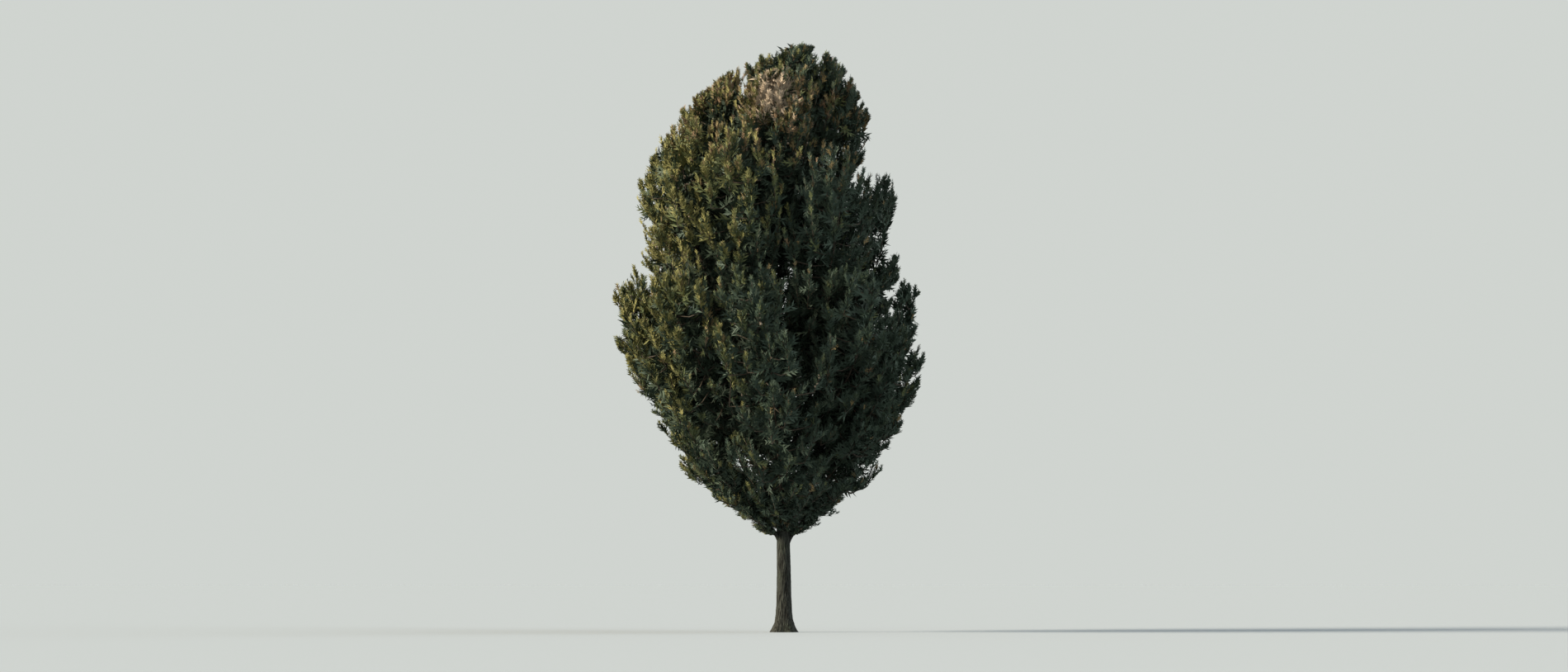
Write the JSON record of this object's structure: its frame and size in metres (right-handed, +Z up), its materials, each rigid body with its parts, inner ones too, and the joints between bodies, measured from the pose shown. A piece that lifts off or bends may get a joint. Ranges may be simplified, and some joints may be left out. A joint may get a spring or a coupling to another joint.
{
  "type": "cypress tree",
  "caption": "Free-standing evergreen tree with one bare trunk below a dense, egg-shaped crown of upswept foliage plumes.",
  "frame": {"origin": "middle of the flat cut under the trunk, at ground level", "axes": "+Z up along the trunk, -Y towards the side that the picture shows, +X to that view's right"},
  "size_m": [5.7688, 5.6671, 11],
  "materials": {
    "bark": "grey-brown ridged bark, matt",
    "foliage": "dark green scale leaves, matt"
  },
  "bodies": {
    "root": {"trunk": "bark", "bough_low_1": "bark", "bough_low_2": "bark", "bough_low_3": "bark", "bough_low_4": "bark", "bough_low_5": "bark", "bough_low_6": "bark", "bough_middle_1": "bark", "bough_middle_2": "bark", "bough_middle_3": "bark", "bough_middle_4": "bark", "bough_middle_5": "bark", "bough_middle_6": "bark", "bough_middle_7": "bark", "bough_middle_8": "bark", "bough_shoulder_1": "bark", "bough_shoulder_2": "bark", "bough_shoulder_3": "bark", "bough_shoulder_4": "bark", "bough_shoulder_5": "bark", "bough_shoulder_6": "bark", "bough_shoulder_7": "bark", "bough_upper_1": "bark", "bough_upper_2": "bark", "bough_upper_3": "bark", "bough_upper_4": "bark", "plume_low_1": "foliage", "plume_low_2": "foliage", "plume_low_3": "foliage", "plume_low_4": "foliage", "plume_low_5": "foliage", "plume_low_6": "foliage", "plume_middle_1": "foliage", "plume_middle_2": "foliage", "plume_middle_3": "foliage", "plume_middle_4": "foliage", "plume_middle_5": "foliage", "plume_middle_6": "foliage", "plume_middle_7": "foliage", "plume_middle_8": "foliage", "plume_shoulder_1": "foliage", "plume_shoulder_2": "foliage", "plume_shoulder_3": "foliage", "plume_shoulder_4": "foliage", "plume_shoulder_5": "foliage", "plume_shoulder_6": "foliage", "plume_shoulder_7": "foliage", "plume_upper_1": "foliage", "plume_upper_2": "foliage", "plume_upper_3": "foliage", "plume_upper_4": "foliage", "plume_top": "foliage"}
  },
  "joints": []
}
